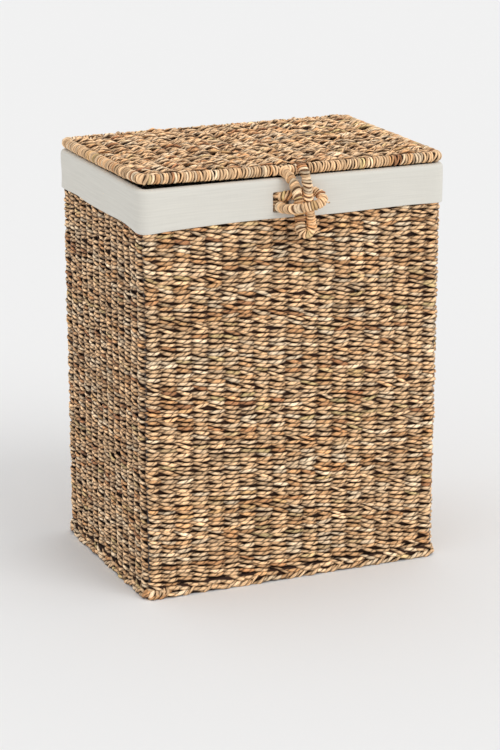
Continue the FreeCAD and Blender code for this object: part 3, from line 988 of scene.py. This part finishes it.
def build_lid():
    """The lid: woven above and below, with a wrapped border."""
    settings = bpy.context.scene.hamper_weave
    size = (PANEL_HIGH.x * 2, PANEL_HIGH.y - PANEL_LOW.y)
    centre_y = (PANEL_HIGH.y + PANEL_LOW.y) / 2
    # the lid's top carries lighter painted shade than the walls, and its finish carries painted
    # light
    flat_weave("lid_weave_top", size, level=PANEL_HIGH.z + 0.8 * MM, facing=1, seed=7, body="lid",
               replaced=["lid_panel"], centre_y=centre_y, mess=1.9, slant=3.4 * MM, painted_shade_strength=0.85)
    flat_weave("lid_weave_under", size, level=PANEL_LOW.z, facing=-1, seed=8, body="lid",
               replaced=["lid_panel"], centre_y=centre_y)
    mesh = slab("lid_core", size, (PANEL_LOW.z + 4 * MM, PANEL_HIGH.z - 4 * MM), CORE_CORNER)
    add_piece("lid_core", mesh, core_finish(), "lid")
    middle = Outline(LID_HIGH.x - LID_RADIUS, LID_HIGH.y - LID_RADIUS, LID_CORNER)
    mesh = wrapped_ring(middle, LID_RADIUS, LID_Z, settings.wrap_pitch, seed=71,
                        gap=(ROOT_LOW.x, ROOT_HIGH.x))
    write_points(mesh, lift_corner(read_points(mesh)))
    add_piece("lid_border_wrapping", mesh, wrap_finish(), "lid", ["lid_border"])


TIE_SINK = 2.0 * MM            # the tie pulls down into the wraps of the lid border


def tie_line(node):
    """Closed stadium line of a hinge tie, from its CAD box."""
    low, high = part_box(node)
    reach = (high.y - low.y) / 2 - TIE / 2
    middle_y = (high.y + low.y) / 2
    top = high.z - TIE / 2 - reach - TIE_SINK
    bottom = low.z + TIE / 2 + reach
    x = (low.x + high.x) / 2
    points = []
    for angle in np.radians(np.linspace(-90, 270, 61)):
        centre = top if math.sin(angle) > 0 else bottom
        points.append((x, middle_y + reach * math.cos(angle), centre + reach * math.sin(angle)))
    return points


def build_hinge_ties():
    """Thin wrapped cords round the lid border and the rim."""
    for side, node in (("left", "hinge_tie_left"), ("right", "hinge_tie_right")):
        path = Path(tie_line(node))
        mesh = wraps_along(path, pitch=3.2 * MM, width=1.1, radius=TIE / 2, swell=0.7 * MM,
                           seed=81, slant=0.3, closed=True)
        add_piece("hinge_tie_cord_" + side, mesh, wrap_finish(), "basket", [node])


# ---- liner ----

CLOTH = 1.2 * MM
BINDING = 2.5 * MM             # width of the stitched edge round the buttonhole
HOLE_X = (BINDING_LOW.x, BINDING_HIGH.x - BINDING)
HOLE_Z = (BINDING_LOW.z + BINDING, BINDING_HIGH.z - BINDING)


def cloth_grid(around, down):
    """A flat grid of unit size, x round the hamper and y down the cloth."""
    bm = bmesh.new()
    bmesh.ops.create_grid(bm, x_segments=around, y_segments=down, size=0.5)
    mesh = mesh_from(bm, "cloth")
    return mesh, read_points(mesh) + (0.5, 0.5, 0.0)


def close_cloth(mesh):
    """Welds the cloth's seam and turns its faces outwards from the basket."""
    bm = bmesh.new()
    bm.from_mesh(mesh)
    bmesh.ops.remove_doubles(bm, verts=bm.verts, dist=1e-6)
    bmesh.ops.recalc_face_normals(bm, faces=bm.faces)
    bm.to_mesh(mesh)
    bm.free()
    mesh.update()


def open_buttonhole(mesh):
    """Takes the buttonhole out of the front of the cuff."""
    bm = bmesh.new()
    bm.from_mesh(mesh)
    inside = []
    for face in bm.faces:
        x, y, z = face.calc_center_median()
        if (y < CUFF_LOW.y + 4 * MM and HOLE_X[0] < x < HOLE_X[1]
                and HOLE_Z[0] < z < HOLE_Z[1]):
            inside.append(face)
    bmesh.ops.delete(bm, geom=inside, context="FACES")
    bm.to_mesh(mesh)
    bm.free()


def build_binding():
    """Whip stitches of cotton thread round the edge of the buttonhole."""
    x_low, x_high = HOLE_X
    z_low, z_high = HOLE_Z
    y = CUFF_LOW.y - 0.2 * MM
    corners = [(x_low, y, z_low), (x_high, y, z_low), (x_high, y, z_high), (x_low, y, z_high)]
    points = []
    for start, end in zip(corners, corners[1:] + corners[:1]):
        points.extend(Vector(start).lerp(Vector(end), step / 12) for step in range(12))
    path = Path([*points, points[0]])
    mesh = wraps_along(path, pitch=1.3 * MM, width=1.15, radius=1.2 * MM, swell=0.4 * MM,
                       seed=91, slant=0.2, closed=True)
    write_attribute(mesh, "cloth", read_points(mesh))
    add_piece("buttonhole_stitches", mesh, cloth_finish(), "basket",
              ["buttonhole_binding"])


def thicken(piece, thickness):
    """Gives a sheet of cloth its thickness and rounds its folds."""
    solid = piece.modifiers.new("thickness", "SOLIDIFY")
    solid.thickness = thickness
    solid.offset = 0.0
    smooth = piece.modifiers.new("smooth", "SUBSURF")
    smooth.levels = 1
    smooth.render_levels = 1


def cuff_profile(depth):
    """Offset from the wall's face and height, for shares of the way down from the inner seam."""
    # out of the wall's face, and up from the top of the cuff
    stations = np.array([
        (-11.4, -50.0), (-11.4, -34.0), (-11.4, -18.0), (-11.2, -7.0), (-9.8, -2.4),
        (-6.5, -0.8), (-3.0, -0.8), (0.2, -1.8), (1.9, -5.4), (2.1, -18.0),
        (2.2, -34.0), (2.3, -46.0), (2.3, -56.0)]) * MM
    steps = np.linalg.norm(np.diff(stations, axis=0), axis=1)
    distance = np.concatenate([[0.0], np.cumsum(steps)])
    along = depth * distance[-1]
    return (np.interp(along, distance, stations[:, 0]),
            CUFF_HIGH.z + np.interp(along, distance, stations[:, 1]), distance[-1])


def folds(share, height, out_share):
    """Soft folds of the cuff, strongest on the left side and at the corners."""
    turn = 2 * math.pi * share
    x, y, _, _ = MOUTH_OUTLINE.at(share)
    left = np.clip(-x / WALL_HIGH.x * 6 - 5, 0, 1)
    drop = (CUFF_HIGH.z - height) / (CUFF_HIGH.z - HEM_LOW.z)
    slow = 0.35 * MM * np.sin(9 * turn + 30 * height) + 0.25 * MM * np.sin(23 * turn + 7)
    slanted = left * 1.3 * MM * np.sin((y + 0.9 * (height - 0.55)) / (13 * MM))
    slanted = slanted * np.clip(y / WALL_HIGH.y + 0.2, 0, 1)
    return (slow + slanted) * out_share * np.clip(drop * 2.2, 0, 1)


def build_cuff():
    """The liner folded over the rim, with its buttonhole and hem."""
    around, down = 300, 40
    mesh, local = cloth_grid(around, down)
    share = local[:, 0] - 0.5
    offset, height, length = cuff_profile(local[:, 1])
    outside = np.clip((offset / MM + 1) / 2, 0, 1)
    x, y, _, _ = MOUTH_OUTLINE.at(share)
    corner = (np.clip(-x / WALL_HIGH.x, 0, 1) * np.clip(-y / WALL_HIGH.y, 0, 1)) ** 6
    drop = np.clip((CUFF_HIGH.z - height) / (CUFF_HIGH.z - HEM_LOW.z), 0, 1)
    height = height - outside * drop * (7.0 * MM * corner + 0.8 * MM * np.sin(14 * share * math.pi))
    offset = offset + folds(share, height, outside)
    px, py = MOUTH_OUTLINE.point(share, offset)
    points = stack(px, py, height)
    write_points(mesh, points)
    write_attribute(mesh, "cloth", stack(share * MOUTH_OUTLINE.length, local[:, 1] * length, 0.0))
    close_cloth(mesh)
    open_buttonhole(mesh)
    build_binding()
    piece = add_piece("liner_cuff_cloth", mesh, cloth_finish(), "basket",
                      ["liner_cuff", "liner_hem"])
    thicken(piece, CLOTH)
    return piece


def build_bag():
    """The liner inside the basket: a hanging bag and its bottom."""
    mesh, local = cloth_grid(200, 60)
    share = local[:, 0] - 0.5
    height = BAG_LOW.z + local[:, 1] * (BAG_HIGH.z - BAG_LOW.z)
    turn = 2 * math.pi * share
    ripple = (0.5 * MM * np.sin(11 * turn + 9 * height)
              + 0.4 * MM * np.sin(29 * turn - 14 * height))
    out = -WEAVE - 1.9 * MM - np.abs(ripple) * np.sin(math.pi * local[:, 1])
    write_points(mesh, wall_point(share, out, height))
    length = MOUTH_OUTLINE.length
    drop = BAG_HIGH.z - BAG_LOW.z
    write_attribute(mesh, "cloth", stack(share * length, local[:, 1] * drop, 0.0))
    close_cloth(mesh)
    bag = add_piece("liner_bag_cloth", mesh, cloth_finish(), "basket",
                    ["liner_bag"])
    thicken(bag, 1.0 * MM)
    low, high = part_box("liner_bottom")
    mesh, local = cloth_grid(60, 40)
    size = (high.x - low.x, high.y - low.y)
    x = (local[:, 0] - 0.5) * size[0]
    y = (local[:, 1] - 0.5) * size[1]
    crease = 1.2 * MM * np.sin(x / (31 * MM) + y / (19 * MM)) * np.sin(y / (43 * MM))
    write_points(mesh, stack(x, y, (low.z + high.z) / 2 + 1.5 * MM + crease))
    write_attribute(mesh, "cloth", stack(x, y, 0.0))
    bottom = add_piece("liner_bottom_cloth", mesh, cloth_finish(), "basket",
                       ["liner_bottom"])
    thicken(bottom, 1.0 * MM)


def finish_wires():
    """The frame wires keep their CAD shape and get the paint."""
    paint = finish_named("steel_wire_enamelled", painted_wire)
    for name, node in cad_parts.items():
        if not node.hide_render:
            node.data.materials.clear()
            node.data.materials.append(paint)


# ---- stage ----

CAMERA_TURN = 0.4138          # about the vertical, towards +X from +Y
CAMERA_DIP = 0.2887           # down from level
CAMERA_PLACE = (-1.3943, -3.1771, 1.2888)
CAMERA_LENS = 119.35          # millimetres on a 36 mm sensor


def build_camera():
    """The view of the hamper from its front left, a little above it."""
    data = bpy.data.cameras.new("camera")
    data.lens = CAMERA_LENS
    data.sensor_width = 36.0
    camera = bpy.data.objects.new("camera", data)
    camera.location = CAMERA_PLACE
    camera.rotation_euler = (math.pi / 2 - CAMERA_DIP, 0.0, -CAMERA_TURN)
    bpy.context.scene.collection.objects.link(camera)
    bpy.context.scene.camera = camera


def build_stage():
    """A pale floor, an even sky and one wide soft key light."""
    scene = bpy.context.scene
    scene.view_settings.view_transform = "Standard"
    bm = bmesh.new()
    bmesh.ops.create_grid(bm, x_segments=1, y_segments=1, size=30.0)
    floor = bpy.data.objects.new("studio_floor", mesh_from(bm, "studio_floor"))
    floor.data.materials.append(finish_named("studio_paper_matt", studio_paper))
    scene.collection.objects.link(floor)
    world = bpy.data.worlds.new("studio")
    world.use_nodes = True
    background = world.node_tree.nodes["Background"]
    background.inputs["Color"].default_value = (1.0, 1.0, 1.0, 1.0)
    background.inputs["Strength"].default_value = 0.84
    scene.world = world
    key = bpy.data.lights.new("key", "SUN")
    key.energy = 0.85
    key.angle = math.radians(38)
    lamp = bpy.data.objects.new("key", key)
    lamp.rotation_euler = (math.radians(50), 0.0, math.radians(28))
    scene.collection.objects.link(lamp)


# ---- operators ----

class HAMPER_OT_camera(bpy.types.Operator):
    """Places the camera"""
    bl_idname = "hamper.camera"
    bl_label = "Camera"
    bl_options = {"REGISTER", "UNDO"}

    def execute(self, context):
        build_camera()
        return {"FINISHED"}


class HAMPER_OT_cords(bpy.types.Operator):
    """Builds the closure ring and the lid loop"""
    bl_idname = "hamper.cords"
    bl_label = "Closure Cords"
    bl_options = {"REGISTER", "UNDO"}

    def execute(self, context):
        build_cords()
        return {"FINISHED"}


class HAMPER_OT_loop_root(bpy.types.Operator):
    """Wraps the loop's root on the lid"""
    bl_idname = "hamper.loop_root"
    bl_label = "Loop Root"
    bl_options = {"REGISTER", "UNDO"}

    def execute(self, context):
        build_loop_root()
        return {"FINISHED"}


class HAMPER_OT_wall(bpy.types.Operator):
    """Weaves the four walls"""
    bl_idname = "hamper.wall"
    bl_label = "Woven Wall"
    bl_options = {"REGISTER", "UNDO"}

    def execute(self, context):
        build_wall()
        return {"FINISHED"}


class HAMPER_OT_foot(bpy.types.Operator):
    """Plaits the border round the foot"""
    bl_idname = "hamper.foot"
    bl_label = "Foot Border"
    bl_options = {"REGISTER", "UNDO"}

    def execute(self, context):
        build_foot()
        return {"FINISHED"}


class HAMPER_OT_base(bpy.types.Operator):
    """Weaves the base"""
    bl_idname = "hamper.base"
    bl_label = "Woven Base"
    bl_options = {"REGISTER", "UNDO"}

    def execute(self, context):
        build_base()
        return {"FINISHED"}


class HAMPER_OT_rim(bpy.types.Operator):
    """Wraps the rim under the cuff"""
    bl_idname = "hamper.rim"
    bl_label = "Rim"
    bl_options = {"REGISTER", "UNDO"}

    def execute(self, context):
        build_rim()
        return {"FINISHED"}


class HAMPER_OT_lid(bpy.types.Operator):
    """Weaves the lid and wraps its border"""
    bl_idname = "hamper.lid"
    bl_label = "Lid"
    bl_options = {"REGISTER", "UNDO"}

    def execute(self, context):
        build_lid()
        return {"FINISHED"}


class HAMPER_OT_hinge_ties(bpy.types.Operator):
    """Makes the two hinge ties"""
    bl_idname = "hamper.hinge_ties"
    bl_label = "Hinge Ties"
    bl_options = {"REGISTER", "UNDO"}

    def execute(self, context):
        build_hinge_ties()
        return {"FINISHED"}


class HAMPER_OT_cuff(bpy.types.Operator):
    """Folds the liner's cuff over the rim"""
    bl_idname = "hamper.cuff"
    bl_label = "Liner Cuff"
    bl_options = {"REGISTER", "UNDO"}

    def execute(self, context):
        build_cuff()
        return {"FINISHED"}


class HAMPER_OT_bag(bpy.types.Operator):
    """Hangs the liner bag"""
    bl_idname = "hamper.bag"
    bl_label = "Liner Bag"
    bl_options = {"REGISTER", "UNDO"}

    def execute(self, context):
        build_bag()
        return {"FINISHED"}


class HAMPER_OT_wires(bpy.types.Operator):
    """Paints the wire frame"""
    bl_idname = "hamper.wires"
    bl_label = "Frame Wires"
    bl_options = {"REGISTER", "UNDO"}

    def execute(self, context):
        finish_wires()
        return {"FINISHED"}


class HAMPER_OT_stage(bpy.types.Operator):
    """Sets the floor and the lights"""
    bl_idname = "hamper.stage"
    bl_label = "Stage"
    bl_options = {"REGISTER", "UNDO"}

    def execute(self, context):
        build_stage()
        return {"FINISHED"}


OPERATORS = [
    HAMPER_OT_camera, HAMPER_OT_cords, HAMPER_OT_loop_root, HAMPER_OT_wall, HAMPER_OT_foot,
    HAMPER_OT_base, HAMPER_OT_rim, HAMPER_OT_lid, HAMPER_OT_hinge_ties, HAMPER_OT_cuff,
    HAMPER_OT_bag, HAMPER_OT_wires, HAMPER_OT_stage,
]


class HAMPER_PT_panel(bpy.types.Panel):
    """Sizes, colours and building steps of the hamper."""
    bl_label = "Woven Hamper"
    bl_idname = "HAMPER_PT_panel"
    bl_space_type = "VIEW_3D"
    bl_region_type = "UI"
    bl_category = "Hamper"

    def draw(self, context):
        layout = self.layout
        for group in (context.scene.hamper_weave, context.scene.hamper_colours):
            for name in group.__annotations__:
                layout.prop(group, name)
        for step in OPERATORS:
            layout.operator(step.bl_idname)


CLASSES = [HamperWeave, HamperColours, *OPERATORS, HAMPER_PT_panel]


def register():
    for kind in CLASSES:
        bpy.utils.register_class(kind)
    bpy.types.Scene.hamper_weave = bpy.props.PointerProperty(type=HamperWeave)
    bpy.types.Scene.hamper_colours = bpy.props.PointerProperty(type=HamperColours)


def unregister():
    del bpy.types.Scene.hamper_colours
    del bpy.types.Scene.hamper_weave
    for kind in reversed(CLASSES):
        bpy.utils.unregister_class(kind)


def main():
    register()
    for step in OPERATORS:
        name = step.bl_idname.split(".")[1]
        getattr(bpy.ops.hamper, name)()


if __name__ == "__main__":
    main()
